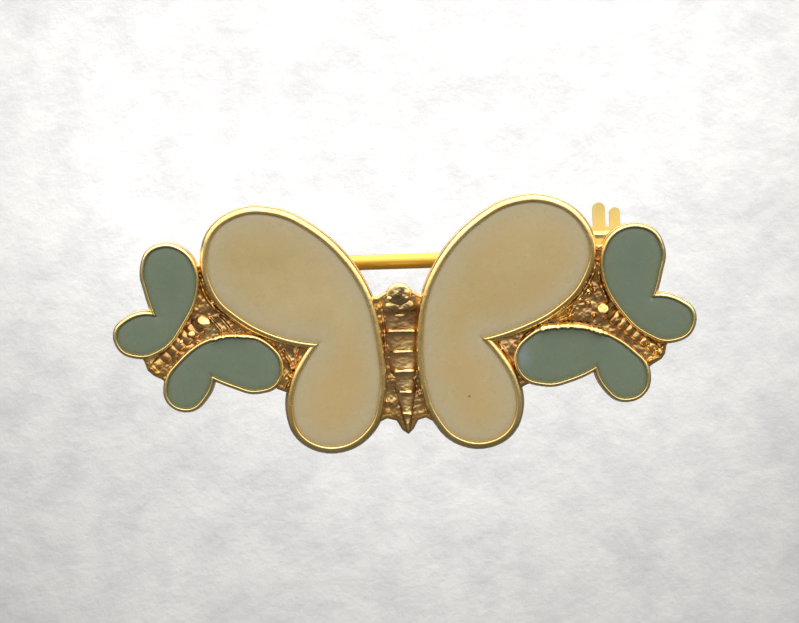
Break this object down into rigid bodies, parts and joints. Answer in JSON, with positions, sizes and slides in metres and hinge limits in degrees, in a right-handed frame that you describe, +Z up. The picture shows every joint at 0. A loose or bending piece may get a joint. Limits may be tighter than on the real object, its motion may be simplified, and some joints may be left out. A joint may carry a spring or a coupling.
{
  "type": "enamelled hair pin",
  "caption": "Enamelled butterfly hair pin: cast gold-tone plate, hinged wire stem behind, and a turning lock that closes over the tip.",
  "frame": {"origin": "on the flat back face of the casting, at the middle of its length and height", "axes": "+X along the pin from the hinge to the catch, the decorated face looks along -Y, +Z up as worn"},
  "size_m": [0.0379, 0.0065, 0.0165],
  "materials": {
    "gold_cast": "gold plated, cast, polished rims over rough ground",
    "enamel_cream": "opaque cream enamel, slightly cloudy, gloss",
    "enamel_green": "opaque sage green enamel, gloss",
    "gold_bracket": "gold plated strip",
    "gold_rivet": "gold plated, headed cold",
    "gold_wire": "gold plated drawn wire, polished",
    "gold_housing": "gold plated strip",
    "gold_rotor": "gold plated, thumb tab worn pale",
    "solder": "plated solder fillet, uneven"
  },
  "bodies": {
    "frame": {"cast_frame": "gold_cast", "cream_enamel_left": "enamel_cream", "cream_enamel_right": "enamel_cream", "green_enamel_left_upper": "enamel_green", "green_enamel_left_lower": "enamel_green", "green_enamel_right_upper": "enamel_green", "green_enamel_right_lower": "enamel_green", "hinge_bracket": "gold_bracket", "hinge_rivet": "gold_rivet", "catch_housing": "gold_housing", "hinge_solder": "solder", "catch_solder": "solder"},
    "stem": {"pin_stem": "gold_wire"},
    "rotor": {"catch_rotor": "gold_rotor"}
  },
  "joints": [
    {"name": "stem_swing", "type": "hinge", "parent": "frame", "child": "stem", "pos_m": [-0.0114, 0.0029, 0.00405], "axis": [0, 0, 1], "range_deg": [0, 70]},
    {"name": "lock_turn", "type": "hinge", "parent": "frame", "child": "rotor", "pos_m": [0.0135, 0.0029, 0.00405], "axis": [-1, 0, 0], "range_deg": [0, 100]}
  ]
}
